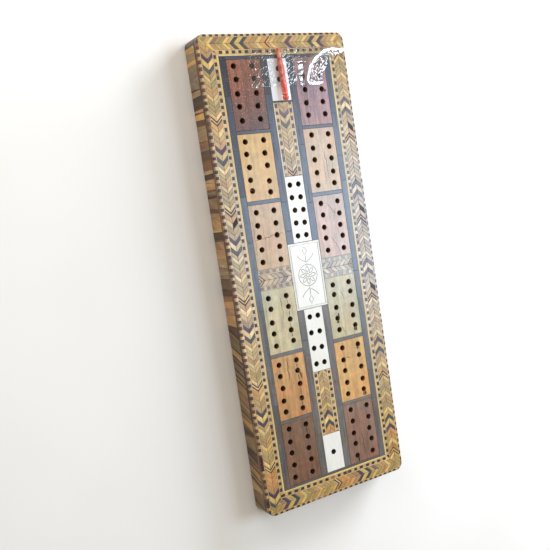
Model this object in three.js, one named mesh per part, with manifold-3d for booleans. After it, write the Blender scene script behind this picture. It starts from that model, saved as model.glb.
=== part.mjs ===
// Marquetry cribbage board: a solid wood core, drilled for the pegs, faced with panels,
// bone plates, herringbone bandings and a dyed ground, with parquetry on its four sides,
// and one loose turned peg held on the face by a strip of clear tape.
// Millimetres, +Z up. The board lies flat: its length runs along Y and its underside is z = 0.

import * as THREE from 'three';
import { mergeGeometries, mergeVertices } from 'three/addons/utils/BufferGeometryUtils.js';
import Module from 'manifold-3d';

const wasm = await Module();
wasm.setup();

// ---- Driving dimensions ----

const BOARD_LENGTH = 250;
const BOARD_WIDTH = 90;
const BOARD_THICKNESS = 14;
const CORNER_RADIUS = 4.5;
const ARC_STEPS = 6; // per quarter turn, even, so that a mitre meets a point of the arc

const FACE_SLICE = 1.5; // thickness of everything inlaid in the face
const SIDE_SLICE = 1.25; // thickness of the parquetry on the sides
const BORDER_WIDTH = 10.5;
const STRINGING_WIDTH = 0.75;

const PANEL_WIDTH = 20;
const PANEL_CENTRE_X = 20;
const COLUMN_WIDTH = 11.75; // the plates and herringbone strips down the middle

const HOLE_DIAMETER = 2.7;
const HOLE_DEPTH = 9;
const HOLE_SIDES = 8;
const INNER_HOLES_X = 15;
const OUTER_HOLES_X = 25.8;
const PLATE_HOLES_X = 2.75;
const DRILLING_DRIFT = 0.25; // how far a hand-drilled hole strays from its row

// Down each side column, from the far end. A panel has five rows of two holes: `first` is
// the distance from its far edge to the first row, and `pitch` the distance between rows.
const SIDE_COLUMN = [
  { kind: 'ground_end', height: 1.85 },
  { kind: 'panel', colour: 'rosewood', height: 36.4, first: 3.3, pitch: 6.95 },
  { kind: 'divider', height: 1.7 },
  { kind: 'panel', colour: 'satinwood', height: 34.6, first: 3.6, pitch: 6.75 },
  { kind: 'divider', height: 1.9 },
  { kind: 'panel', colour: 'mauve', height: 34, first: 4.2, pitch: 6.4 },
  { kind: 'cross_strip', height: 10.9 },
  { kind: 'panel', colour: 'olive', height: 33.9, first: 4.4, pitch: 6.3 },
  { kind: 'divider', height: 1.9 },
  { kind: 'panel', colour: 'orange', height: 33.7, first: 3.9, pitch: 6.45 },
  { kind: 'divider', height: 1.8 },
  { kind: 'panel', colour: 'walnut', height: 33.5, first: 3.5, pitch: 6.5 },
  { kind: 'ground_end', height: 1.35 },
];
const PANEL_ROWS = 5;

// Down the middle column, from the far end.
const MIDDLE_COLUMN = [
  { kind: 'ground_end', height: 1.85 },
  { kind: 'plate', name: 'peg_plate_far', height: 22.3, rows: 2, holesX: [0.3], first: 5.8, pitch: 6.2 },
  { kind: 'joint', height: 0.7 },
  { kind: 'strip', name: 'herringbone_middle_far', height: 39.2 },
  { kind: 'plate', name: 'ten_hole_plate', height: 35.5, rows: 5, first: 4.5, pitch: 6.85 },
  { kind: 'plaque', name: 'centre_plaque', height: 35.9 },
  { kind: 'plate', name: 'eight_hole_plate', height: 34.7, rows: 4, first: 4.5, pitch: 8.63 },
  { kind: 'strip', name: 'herringbone_middle_near', height: 35.1 },
  { kind: 'plate', name: 'peg_plate_near', height: 20.9, rows: 1, holesX: [-0.1], first: 10.45, pitch: 0 },
  { kind: 'ground_end', height: 1.35 },
];

// The loose peg, as [distance from the end of its head, radius].
const PEG_PROFILE = [
  [0, 0], [0.15, 0.9], [0.8, 1.55], [1.7, 1.72], [2.5, 1.5], [2.9, 1.25], [3.2, 1.7],
  [3.9, 1.7], [4.2, 1.4], [4.7, 1.65], [8.6, 1.6], [9, 1.72], [9.6, 1.4], [14, 1.5],
  [19.6, 1.2], [20.6, 1.25], [21.2, 0.95], [27, 0.8], [27.7, 0.5], [28, 0],
];
const PEG_SIDES = 12;
const PEG_X = 1.1;
const PEG_HEAD_Y = 89.2;
const PEG_REST_GAP = 0.05;
const PEG_TILT = Math.atan((1.72 - 0.8) / (27 - 9)); // lies on its barrel ring and its tip

// The strip of clear tape: its width runs along Y, and this is its middle line across the
// board, as [x, height above the face]. It climbs over the peg and its right end has lifted.
const TAPE_THICKNESS = 0.2;
const TAPE_WIDTH = 20.5;
const TAPE_CENTRE_Y = 107.2;
const TAPE_LINE = [
  [-17.5, 0.3], [-3.6, 0.35], [-2, 1.3], [-0.4, 3.3], [1.1, 4.05], [2.6, 3.3], [4.4, 1.3],
  [6.4, 0.35], [17.5, 0.3], [23, 1.7], [29, 3.6], [36, 4.3], [43.8, 3.4],
];

// ---- Derived sizes ----

const FACE_Z = BOARD_THICKNESS;
const CORE_HEIGHT = BOARD_THICKNESS - FACE_SLICE;
const GROUND_INSET = BORDER_WIDTH + STRINGING_WIDTH;
const GROUND_HALF_X = BOARD_WIDTH / 2 - GROUND_INSET;
const GROUND_HALF_Y = BOARD_LENGTH / 2 - GROUND_INSET;
const PANEL_OUTER_X = PANEL_CENTRE_X + PANEL_WIDTH / 2;
const PANEL_INNER_X = PANEL_CENTRE_X - PANEL_WIDTH / 2;

// ---- Materials ----

function finish(color, roughness) {
  return new THREE.MeshStandardMaterial({ color, roughness, metalness: 0 });
}

const PANEL_COLOURS = {
  rosewood: 0x8a6668,
  satinwood: 0xdcc08c,
  mauve: 0xcdb4a4,
  olive: 0xc2bd98,
  orange: 0xd0a070,
  walnut: 0x87685f,
};

const looks = {
  core: () => finish(0x7d5a3a, 0.7),
  side: () => finish(0x6e5236, 0.6),
  banding: () => finish(0xc9a565, 0.45),
  stringing: () => finish(0xe2cf9c, 0.5),
  ground: () => finish(0x6c7686, 0.5),
  bone: () => finish(0xf1eee6, 0.35),
  peg: () => finish(0xc8383c, 0.3),
  tape: () => {
    const film = finish(0xffffff, 0.08);
    film.transparent = true;
    film.opacity = 0.25;
    return film;
  },
};

// ---- Helpers ----

const board = new THREE.Group();

function add(name, geometry, material, parent = board) {
  const mesh = new THREE.Mesh(geometry, material);
  mesh.name = name;
  parent.add(mesh);
  return mesh;
}

function pointsOnly(geometry) {
  const bare = geometry.clone();
  bare.deleteAttribute('normal');
  bare.deleteAttribute('uv');
  return mergeVertices(bare, 1e-5);
}

function toSolid(geometry) {
  const bare = pointsOnly(geometry);
  return new wasm.Manifold(new wasm.Mesh({
    numProp: 3,
    vertProperties: new Float32Array(bare.attributes.position.array),
    triVerts: new Uint32Array(bare.index.array),
  }));
}

function toGeometry(solid) {
  const mesh = solid.getMesh();
  const geometry = new THREE.BufferGeometry();
  geometry.setAttribute('position', new THREE.BufferAttribute(mesh.vertProperties, 3));
  geometry.setIndex(new THREE.BufferAttribute(mesh.triVerts, 1));
  geometry.computeVertexNormals();
  return geometry;
}

function extrude(shape, bottom, height) {
  const geometry = new THREE.ExtrudeGeometry(shape, { depth: height, bevelEnabled: false });
  return geometry.translate(0, 0, bottom);
}

function polygonShape(points) {
  return new THREE.Shape(points.map(([x, y]) => new THREE.Vector2(x, y)));
}

// The corner points of a peg hole, going round it clockwise as a hole path must.
function holePoints(x, y) {
  const points = [];
  for (let i = 0; i < HOLE_SIDES; i += 1) {
    const angle = (-2 * Math.PI * (i + 0.5)) / HOLE_SIDES;
    const reach = HOLE_DIAMETER / 2;
    points.push([x + reach * Math.cos(angle), y + reach * Math.sin(angle)]);
  }
  return points;
}

// ---- The board's outline and the pieces that follow it ----

// The arc at each corner of the outline set in by `inset`, anticlockwise from near right.
// Where the inset is larger than the corner radius the corner is one sharp point.
function cornerArcs(inset) {
  const radius = CORNER_RADIUS - inset;
  const centreInset = Math.max(CORNER_RADIUS, inset);
  const cx = BOARD_WIDTH / 2 - centreInset;
  const cy = BOARD_LENGTH / 2 - centreInset;
  const centres = [[cx, -cy], [cx, cy], [-cx, cy], [-cx, -cy]];
  return centres.map(([x, y], quarter) => {
    if (radius <= 0) {
      return [[x, y]];
    }
    const arc = [];
    for (let i = 0; i <= ARC_STEPS; i += 1) {
      const angle = (Math.PI / 2) * (quarter - 1 + i / ARC_STEPS);
      arc.push([x + radius * Math.cos(angle), y + radius * Math.sin(angle)]);
    }
    return arc;
  });
}

// One side of the outline, from the middle of one corner to the middle of the next.
function sidePath(inset, side) {
  const arcs = cornerArcs(inset);
  const first = arcs[side];
  const second = arcs[(side + 1) % 4];
  const middle = Math.floor(first.length / 2);
  return [...first.slice(middle), ...second.slice(0, middle + 1)];
}

// A mitred strip along one side, between two insets of the outline.
function mitredStrip(side, outerInset, innerInset, bottom, height) {
  const outer = sidePath(outerInset, side);
  const inner = sidePath(innerInset, side).reverse();
  return extrude(polygonShape([...outer, ...inner]), bottom, height);
}

const SIDES = ['right', 'far', 'left', 'near'];

// ---- Where the holes are ----

// A small, repeatable straying of a hand-drilled hole.
function drift(seed) {
  return DRILLING_DRIFT * Math.sin(seed * 2.4);
}

function panelHoles(entry, top, sign, panelIndex) {
  const holes = [];
  for (let row = 0; row < PANEL_ROWS; row += 1) {
    [INNER_HOLES_X, OUTER_HOLES_X].forEach((column, columnIndex) => {
      const seed = row + 7 * panelIndex + 3 * columnIndex + (sign > 0 ? 31 : 0);
      const x = sign * column + drift(seed);
      const y = top - entry.first - entry.pitch * row + drift(seed + 11);
      holes.push([x, y]);
    });
  }
  return holes;
}

function plateHoles(entry, top) {
  const columns = entry.holesX ?? [-PLATE_HOLES_X, PLATE_HOLES_X];
  const holes = [];
  for (let row = 0; row < entry.rows; row += 1) {
    columns.forEach((x, columnIndex) => {
      const seed = row + 5 * columnIndex + entry.height;
      holes.push([x + drift(seed), top - entry.first - entry.pitch * row]);
    });
  }
  return holes;
}

// A face slice from its left, near corner to its right, far corner, with its holes.
function faceSlice(left, near, right, far, holes = []) {
  const shape = polygonShape([[left, near], [right, near], [right, far], [left, far]]);
  holes.forEach(([x, y]) => {
    shape.holes.push(new THREE.Path(holePoints(x, y).map(([px, py]) => new THREE.Vector2(px, py))));
  });
  return extrude(shape, CORE_HEIGHT, FACE_SLICE);
}

// ---- The face: side columns ----

const allHoles = [];

function buildSideColumn(sideName, sign) {
  let top = GROUND_HALF_Y;
  let panelNumber = 0;
  let dividerNumber = 0;
  SIDE_COLUMN.forEach((entry) => {
    const bottom = top - entry.height;
    const edges = [sign * PANEL_INNER_X, sign * PANEL_OUTER_X].sort((a, b) => a - b);
    if (entry.kind === 'panel') {
      panelNumber += 1;
      const holes = panelHoles(entry, top, sign, panelNumber);
      allHoles.push(...holes);
      const geometry = faceSlice(edges[0], bottom, edges[1], top, holes);
      add(`track_panel_${sideName}_${panelNumber}`, geometry, finish(PANEL_COLOURS[entry.colour], 0.45));
    } else if (entry.kind === 'divider') {
      dividerNumber += 1;
      const geometry = faceSlice(edges[0], bottom, edges[1], top);
      add(`ground_divider_${sideName}_${dividerNumber}`, geometry, looks.ground());
    } else if (entry.kind === 'cross_strip') {
      add(`herringbone_cross_${sideName}`, faceSlice(edges[0], bottom, edges[1], top), looks.banding());
    }
    top = bottom;
  });
}

// ---- The face: middle column ----

function buildMiddleColumn() {
  const half = COLUMN_WIDTH / 2;
  let top = GROUND_HALF_Y;
  const plaque = {};
  MIDDLE_COLUMN.forEach((entry) => {
    const bottom = top - entry.height;
    if (entry.kind === 'plate') {
      const holes = plateHoles(entry, top);
      allHoles.push(...holes);
      add(entry.name, faceSlice(-half, bottom, half, top, holes), looks.bone());
    } else if (entry.kind === 'strip') {
      add(entry.name, faceSlice(-half, bottom, half, top), looks.banding());
    } else if (entry.kind === 'joint') {
      add('ground_plate_joint', faceSlice(-half, bottom, half, top), looks.ground());
    } else if (entry.kind === 'plaque') {
      add(entry.name, faceSlice(-PANEL_INNER_X, bottom, PANEL_INNER_X, top), looks.bone());
      plaque.far = top;
      plaque.near = bottom;
    }
    top = bottom;
  });
  return plaque;
}

// ---- The face: the dyed ground between the columns and round them ----

function buildGround(plaque) {
  const farEdge = GROUND_HALF_Y - SIDE_COLUMN[0].height;
  const nearEdge = -GROUND_HALF_Y + SIDE_COLUMN.at(-1).height;
  const half = COLUMN_WIDTH / 2;
  const strips = {
    ground_edge_left: [-GROUND_HALF_X, -GROUND_HALF_Y, -PANEL_OUTER_X, GROUND_HALF_Y],
    ground_edge_right: [PANEL_OUTER_X, -GROUND_HALF_Y, GROUND_HALF_X, GROUND_HALF_Y],
    ground_end_far: [-PANEL_OUTER_X, farEdge, PANEL_OUTER_X, GROUND_HALF_Y],
    ground_end_near: [-PANEL_OUTER_X, -GROUND_HALF_Y, PANEL_OUTER_X, nearEdge],
    ground_column_left_far: [-PANEL_INNER_X, plaque.far, -half, farEdge],
    ground_column_right_far: [half, plaque.far, PANEL_INNER_X, farEdge],
    ground_column_left_near: [-PANEL_INNER_X, nearEdge, -half, plaque.near],
    ground_column_right_near: [half, nearEdge, PANEL_INNER_X, plaque.near],
  };
  Object.entries(strips).forEach(([name, [left, near, right, far]]) => {
    add(name, faceSlice(left, near, right, far), looks.ground());
  });
}

// ---- Borders and sides ----

function buildBorders() {
  SIDES.forEach((name, side) => {
    const banding = mitredStrip(side, 0, BORDER_WIDTH, CORE_HEIGHT, FACE_SLICE);
    add(`border_banding_${name}`, banding, looks.banding());
    const stringing = mitredStrip(side, BORDER_WIDTH, GROUND_INSET, CORE_HEIGHT, FACE_SLICE);
    add(`stringing_${name}`, stringing, looks.stringing());
    add(`side_parquetry_${name}`, mitredStrip(side, 0, SIDE_SLICE, 0, CORE_HEIGHT), looks.side());
  });
}

// ---- Core, drilled with every peg hole ----

function buildCore() {
  const blank = toSolid(extrude(polygonShape(cornerArcs(SIDE_SLICE).flat()), 0, CORE_HEIGHT));
  const depth = HOLE_DEPTH - FACE_SLICE;
  const drills = allHoles.map(([x, y]) => {
    const outline = polygonShape(holePoints(x, y).reverse());
    return extrude(outline, CORE_HEIGHT - depth, depth + 1);
  });
  const drilled = blank.subtract(toSolid(mergeGeometries(drills)));
  add('core_board', toGeometry(drilled), looks.core());
}

// ---- The loose peg and the tape that holds it ----

function buildPeg() {
  const profile = PEG_PROFILE.map(([along, radius]) => new THREE.Vector2(radius, along));
  const peg = add('scoring_peg', new THREE.LatheGeometry(profile, PEG_SIDES), looks.peg());
  peg.rotation.x = -PEG_TILT;
  const reachDown = PEG_PROFILE.map(([along, radius]) => (
    along * Math.sin(PEG_TILT) + radius * Math.cos(PEG_TILT)
  ));
  peg.position.set(PEG_X, PEG_HEAD_Y, FACE_Z + Math.max(...reachDown) + PEG_REST_GAP);
}

function buildTape() {
  const half = TAPE_THICKNESS / 2;
  const upper = TAPE_LINE.map(([x, height]) => [x, height + half]);
  const lower = TAPE_LINE.map(([x, height]) => [x, height - half]).reverse();
  const film = extrude(polygonShape([...lower, ...upper].reverse()), 0, TAPE_WIDTH);
  const tape = add('clear_tape', film, looks.tape());
  tape.rotation.x = Math.PI / 2;
  tape.position.set(0, TAPE_CENTRE_Y + TAPE_WIDTH / 2, FACE_Z);
}

// ---- Assembly ----

buildSideColumn('left', -1);
buildSideColumn('right', 1);
buildGround(buildMiddleColumn());
buildBorders();
buildCore();
buildPeg();
buildTape();

export default board;
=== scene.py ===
"""Looks of a marquetry cribbage board with a loose peg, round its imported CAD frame.

Drawings are in millimetres in a flat (u, v) plane. A Relief turns one into a closed solid
whose face is cut by the joints between its slips of wood, its holes, cracks and chips.
"""

import math
import random

import bpy
from mathutils import Euler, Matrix, Quaternion, Vector, geometry, noise


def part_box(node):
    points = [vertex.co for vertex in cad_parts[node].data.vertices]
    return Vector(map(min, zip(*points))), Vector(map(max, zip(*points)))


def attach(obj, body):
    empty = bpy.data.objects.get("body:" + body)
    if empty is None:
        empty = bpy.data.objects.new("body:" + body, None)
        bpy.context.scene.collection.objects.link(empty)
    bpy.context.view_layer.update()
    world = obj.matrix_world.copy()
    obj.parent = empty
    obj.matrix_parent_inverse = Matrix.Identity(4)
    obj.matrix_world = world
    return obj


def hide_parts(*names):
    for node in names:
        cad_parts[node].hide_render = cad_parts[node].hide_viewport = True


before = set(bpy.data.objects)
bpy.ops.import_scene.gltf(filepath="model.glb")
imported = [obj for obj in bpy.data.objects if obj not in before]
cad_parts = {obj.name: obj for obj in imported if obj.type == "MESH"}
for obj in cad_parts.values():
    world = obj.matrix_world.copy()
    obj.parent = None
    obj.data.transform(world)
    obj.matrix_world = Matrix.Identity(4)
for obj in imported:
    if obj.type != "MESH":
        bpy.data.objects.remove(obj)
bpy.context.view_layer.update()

MM = 0.001


def node_box(node):
    """Lowest and highest corners of a CAD node, in millimetres."""
    low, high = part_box(node)
    return Vector(low) / MM, Vector(high) / MM


FACE_Z = node_box("centre_plaque")[1].z
CORE_TOP = node_box("core_board")[1].z
FACE_SLICE = FACE_Z - CORE_TOP
HALF_X = node_box("side_parquetry_right")[1].x
HALF_Y = node_box("side_parquetry_far")[1].y
SIDE_SLICE = HALF_X - node_box("core_board")[1].x
BORDER_WIDTH = HALF_X - node_box("stringing_right")[1].x
CORNER_RADIUS = 4.5
SEEDS = 9  # slips' seeds lie between 0 and this

# Depths below a piece's surface.
DEEPEST_CREASE = 0.07  # wholly dark, with soiling and painted shade, from here on
CHIP_FLOOR = 0.2
HOLE_RIM = 0.22


# ---- Colours ----

def srgb(code):
    """Linear RGBA from a colour written as six hex digits."""
    channels = [int(code[i:i + 2], 16) / 255 for i in (0, 2, 4)]
    linear = [c / 12.92 if c <= 0.04045 else ((c + 0.055) / 1.055) ** 2.4 for c in channels]
    return (*linear, 1.0)


def toned(colour, factor):
    """A colour made lighter or darker."""
    return (*(min(1.0, c * factor) for c in colour[:3]), 1.0)


def greyed_by_painted_sheen(colour, share):
    """A colour greyed by painted sheen; the dark dyes go blue-grey under its cool light."""
    grey = 1.04 * sum(colour[:3]) / 3
    cold = 1.6 if grey < 0.12 else 1.04
    return (*((1 - share) * c + share * g for c, g in zip(colour[:3], (grey, grey, grey * cold))), 1.0)


DARK_PURPLE, DARK_GREEN, MAROON = srgb("4a394a"), srgb("404642"), srgb("46262a")
PALE, TAN, ORANGE, DEEP_ORANGE = srgb("c8ae64"), srgb("ad9253"), srgb("b98c44"), srgb("bf8f54")
PINKISH, GREENISH, FINE_LINE = srgb("a98959"), srgb("a09256"), srgb("c8b57e")
CHECK_DARK, CHECK_PALE, CHECK_BROWN = srgb("37272c"), srgb("bda26a"), srgb("8a6a48")
REPAIR, LOST_CHECK, UNCUT_WOOD = srgb("1a1815"), srgb("481c26"), srgb("b09060")


# ---- Numbers and outlines ----

def interpolate(table, value):
    """Reads a table of (place, number) pairs, in straight lines between them."""
    for (at, low), (end, high) in zip(table, table[1:]):
        if at <= value <= end:
            return low + (high - low) * (value - at) / (end - at)
    return table[0][1] if value < table[0][0] else table[-1][1]


def smooth_step(low, high, value):
    t = min(1.0, max(0.0, (value - low) / (high - low)))
    return t * t * (3 - 2 * t)


def bell(value, centre, width):
    return math.exp(-((value - centre) / width) ** 2)


def ring(centre, radius, sides=24):
    step = 2 * math.pi / sides
    return [(centre[0] + radius * math.cos(i * step), centre[1] + radius * math.sin(i * step))
            for i in range(sides)]


def rectangle(left, near, right, far):
    return [(left, near), (right, near), (right, far), (left, far)]


def taper(i, count):
    """How wide a crack is at its point i, as a share of its widest."""
    return math.sin(math.pi * i / (count - 1)) ** 0.5


def offsets(points, reach, closed=False):
    """The two lines beside a line, at the distance reach gives for each point."""
    left, right = [], []
    count = len(points)
    for i, point in enumerate(points):
        before = points[i - 1] if closed or i else points[0]
        after = points[(i + 1) % count] if closed or i + 1 < count else points[-1]
        direction = (after - before).normalized()
        across = Vector((-direction.y, direction.x)) * reach[i]
        left.append(point + across)
        right.append(point - across)
    return left, right


def inset(polygon, distance):
    """A convex outline moved in by distance, or None where it is too small for that."""
    points = [Vector(p) for p in polygon]
    following = points[1:] + points[:1]
    turn = 1 if sum(a.cross(b) for a, b in zip(points, following)) > 0 else -1
    sharpest = 0.05
    moved = []
    for i, (point, after) in enumerate(zip(points, following)):
        runs = ((point - points[i - 1]).normalized(), (after - point).normalized())
        normal_1, normal_2 = (Vector((-run.y, run.x)) * turn for run in runs)
        spread = 1 + normal_1.dot(normal_2)
        if spread < sharpest:
            return None
        moved.append(point + (normal_1 + normal_2) * (distance / spread))
    for old, after, new, new_after in zip(points, following, moved, moved[1:] + moved[:1]):
        if (after - old).dot(new_after - new) <= 0:
            return None
    return moved


# ---- Meshes and objects ----

def new_object(name, data):
    """An object in the scene's collection."""
    made = bpy.data.objects.new(name, data)
    bpy.context.scene.collection.objects.link(made)
    return made


def new_mesh(name, points, faces, material):
    """A mesh from points in millimetres."""
    mesh = bpy.data.meshes.new(name)
    mesh.from_pydata([Vector(p) * MM for p in points], [], faces)
    mesh.materials.append(material)
    return mesh


def fit(piece, node, slot, body="board"):
    """Puts a piece in the place of a CAD node, on a body."""
    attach(piece, body)
    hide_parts(node)


# ---- Reliefs ----

class Relief:
    """Slips, holes, cracks and chips drawn in (u, v), in millimetres, inside one outline."""

    def __init__(self, outline, edge_width, edge_depth, tone=None):
        self.tone = tone
        self.points, self.depths, self.edges = [], [], []
        self.faces, self.roles = [], []
        self.slips = [(UNCUT_WOOD, (1, 0), 0.0)]
        self.face(outline, edge_depth, "outline")
        if edge_width:
            self.path(inset(outline, edge_width), 0.0)

    def path(self, points, depth, closed=True):
        """Adds a line that the face is creased along. depth is one number, or one a point."""
        start = len(self.points)
        count = len(points)
        self.points += [Vector(p) for p in points]
        self.depths += list(depth) if isinstance(depth, (list, tuple)) else [depth] * count
        last = count if closed else count - 1
        self.edges += [(start + i, start + (i + 1) % count) for i in range(last)]
        return range(start, start + count)

    def face(self, points, depth, role):
        """Adds an area: the outline, a void, a chip, or a slip by its number."""
        points = [Vector(p) for p in points]
        if sum(a.cross(b) for a, b in zip(points, points[1:] + points[:1])) < 0:
            points.reverse()
        self.faces.append(tuple(self.path(points, depth)))
        self.roles.append(role)

    def slip(self, polygon, colour, grain, draw, width=0.1, depth=DEEPEST_CREASE):
        """A slip of wood with a creased joint round it. grain is the direction of its fibres."""
        if self.tone:
            colour = self.tone(colour, sum((Vector(p) for p in polygon), Vector((0, 0))) / len(polygon))
        self.slips.append((colour, grain, draw.random() * SEEDS))
        self.face(polygon, depth, len(self.slips) - 1)
        shrunk = inset(polygon, width)
        if shrunk:
            self.path(shrunk, 0.0)

    def hole(self, centre, radius, rim):
        """A drilled hole right through, with a worn rim."""
        self.path(ring(centre, radius + rim), 0.0)
        self.path(ring(centre, radius + rim * 0.35), DEEPEST_CREASE)
        self.face(ring(centre, radius), HOLE_RIM, "void")

    def crack(self, points, width, depth=0.35):
        """An open crack that narrows to nothing at both ends."""
        points = [Vector(p) for p in points]
        bank, least = 0.035, 0.015
        reach = [width / 2 * taper(i, len(points)) for i in range(len(points))]
        left, right = offsets(points, reach)
        self.path(left[:-1] + right[:0:-1], 0.0)
        left, right = offsets(points[1:-1], [max(least, r - bank) for r in reach[1:-1]])
        self.path(left + right[::-1], depth)

    def stroke(self, points, width, depth=DEEPEST_CREASE, closed=False):
        """An engraved line of even width, with a flat floor."""
        points = [Vector(p) for p in points]
        bank = 0.045
        for reach, level in ((width / 2, 0.0), (width / 2 - bank, depth)):
            if not closed:
                points[0] += (points[1] - points[0]).normalized() * level
                points[-1] += (points[-2] - points[-1]).normalized() * level
            left, right = offsets(points, [reach] * len(points), closed)
            for loop in (left, right) if closed else (left + right[::-1],):
                self.path(loop, level)

    def chip(self, polygon, depth):
        """A spot where a flake of the surface is missing."""
        self.path(polygon, 0.0)
        shrunk = inset(polygon, 0.12)
        if shrunk:
            self.face(shrunk, depth, "chip")

    def build(self, name, place, thickness, material):
        """Makes the closed solid. place turns (u, v, height) into a point in millimetres."""
        found = geometry.delaunay_2d_cdt(self.points, self.edges, self.faces, 0, 1e-4)
        flat, edges, triangles, from_points, from_edges, from_faces = found
        depth = [max((self.depths[i] for i in origin), default=-1.0) for origin in from_points]
        # A point where two lines cross takes its depth from the ends of those lines.
        for edge, origin in zip(edges, from_edges):
            own = [i for i in origin if i < len(self.edges)]
            if not own:
                continue
            ends = [self.depths[end] for i in own for end in self.edges[i]]
            for vertex in edge:
                if not from_points[vertex]:
                    depth[vertex] = max(depth[vertex], min(ends) if len(own) == 1 else max(ends))
        kept = []
        for triangle, origin in zip(triangles, from_faces):
            roles = [self.roles[i] for i in origin]
            if "outline" not in roles or "void" in roles:
                continue
            kept.append((triangle, max((r for r in roles if isinstance(r, int)), default=0)))
            if "chip" in roles:
                for vertex in triangle:
                    depth[vertex] = max(depth[vertex], CHIP_FLOOR)
        return self.solid(name, place, thickness, material, flat, depth, kept)

    def solid(self, name, place, thickness, material, flat, depth, kept):
        """Closes the kept triangles with a back and with walls wherever one has no neighbour."""
        used = sorted({vertex for triangle, _ in kept for vertex in triangle})
        number = {vertex: i for i, vertex in enumerate(used)}
        top = [place(flat[v].x, flat[v].y, -max(depth[v], 0.0)) for v in used]
        back = [place(flat[v].x, flat[v].y, -thickness) for v in used]
        count = len(used)
        faces, slips = [], []
        directed = {}
        for triangle, slip in kept:
            a, b, c = (number[v] for v in triangle)
            faces.append((a, b, c))
            slips.append(slip)
            directed.update({(a, b): slip, (b, c): slip, (c, a): slip})
        faces += [(c + count, b + count, a + count) for a, b, c in faces]
        slips += slips
        walls = set()
        for (a, b), slip in directed.items():
            if (b, a) not in directed:
                faces.append((a, a + count, b + count, b))
                slips.append(slip)
                walls.update((a, b))
        mesh = new_mesh(name, top + back, faces, material)
        # Creases darkened with soiling and painted shade; the foot of deep walls in holes, cracks and
        # chips wholly, as painted shade in the recesses.
        dirt = [min(1.0, max(0.0, depth[v]) / DEEPEST_CREASE) for v in used]
        dirt += [1.0 if depth[v] > CHIP_FLOOR + 0.01 and number[v] in walls else 0.0 for v in used]
        self.paint(mesh, slips, dirt, place)
        return new_object(name, mesh)

    def paint(self, mesh, slips, dirt, place):
        """Stores each slip's colour, fibre direction and seed, and the darkening of the creases: soiling
        and painted shade.
        """
        origin = Vector(place(0, 0, 0))
        fibres = []
        for _, (gu, gv), _ in self.slips:
            fibres.append((Vector(place(gu * 0.01, gv * 0.01, 0)) - origin).normalized())
        tint, grain, seed = [], [], []
        for polygon, slip in zip(mesh.polygons, slips):
            corners = polygon.loop_total
            colour = self.slips[slip][0]
            for vertex in polygon.vertices:
                tint += colour(mesh.vertices[vertex].co / MM) if callable(colour) else colour
            grain += list(fibres[slip]) * corners
            seed += [self.slips[slip][2]] * corners
        for name, kind, domain, key, values in (
            ("tint", "FLOAT_COLOR", "CORNER", "color", tint),
            ("grain", "FLOAT_VECTOR", "CORNER", "vector", grain),
            ("seed", "FLOAT", "CORNER", "value", seed),
            ("dirt", "FLOAT", "POINT", "value", dirt),
        ):
            mesh.attributes.new(name, kind, domain).data.foreach_set(key, values)


# ---- Shaders ----

class Shader:
    """Short names for making a material's nodes."""

    def __init__(self, name):
        self.material = bpy.data.materials.new(name)
        self.material.use_nodes = True
        self.tree = self.material.node_tree
        self.tree.nodes.clear()

    def make(self, kind, inputs, output=0, **settings):
        """A node whose inputs are set or linked, by name or number. Gives one of its outputs."""
        made = self.tree.nodes.new(kind)
        for key, value in settings.items():
            setattr(made, key, value)
        for key, value in inputs.items():
            if isinstance(value, bpy.types.NodeSocket):
                self.tree.links.new(value, made.inputs[key])
            else:
                made.inputs[key].default_value = value
        return made.outputs[output] if made.outputs else None

    def attribute(self, name, output="Fac"):
        return self.make("ShaderNodeAttribute", {}, output, attribute_name=name)

    def maths(self, operation, first, second=0.0):
        return self.make("ShaderNodeMath", {0: first, 1: second}, operation=operation)

    def times(self, first, second):
        return self.maths("MULTIPLY", first, second)

    def plus(self, first, second):
        return self.maths("ADD", first, second)

    def minus(self, first, second):
        return self.maths("SUBTRACT", first, second)

    def vector(self, operation, first, second):
        inputs = {0: first, "Scale" if operation == "SCALE" else 1: second}
        output = "Value" if operation == "DOT_PRODUCT" else "Vector"
        return self.make("ShaderNodeVectorMath", inputs, output, operation=operation)

    def mix(self, factor, first, second):
        return self.make("ShaderNodeMix", {0: factor, 6: first, 7: second}, 2, data_type="RGBA")

    def layers(self, colour, *layers):
        """Lays colours over one another, each a factor and a code."""
        for factor, code in layers:
            colour = self.mix(factor, colour, srgb(code))
        return colour

    def noise(self, place, scale, detail=3.0, roughness=0.55, distortion=0.0):
        """Noise from 0 to 1 with about scale lumps a millimetre."""
        inputs = dict(Vector=place, Scale=scale, Detail=detail, Roughness=roughness, Distortion=distortion)
        return self.make("ShaderNodeTexNoise", inputs, "Fac")

    def between(self, value, low, high, to_low=0.0, to_high=1.0):
        """value from low..high moved to to_low..to_high, and held there outside it."""
        inputs = dict(enumerate((value, low, high, to_low, to_high)))
        return self.make("ShaderNodeMapRange", inputs, interpolation_type="SMOOTHSTEP")

    def millimetres(self):
        """The place on the board, which moves with the piece."""
        return self.vector("SCALE", self.make("ShaderNodeTexCoord", {}, "Object"), 1000.0)

    def bump(self, height, strength, distance):
        return self.make("ShaderNodeBump", dict(Strength=strength, Distance=distance * MM, Height=height))

    def surface(self, value):
        self.make("ShaderNodeOutputMaterial", {"Surface": value})

    def principled(self, colour, roughness, normal, **others):
        inputs = {"Base Color": colour, "Roughness": roughness, "Normal": normal}
        inputs.update((name.replace("_", " "), value) for name, value in others.items())
        self.surface(self.make("ShaderNodeBsdfPrincipled", inputs))


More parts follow.
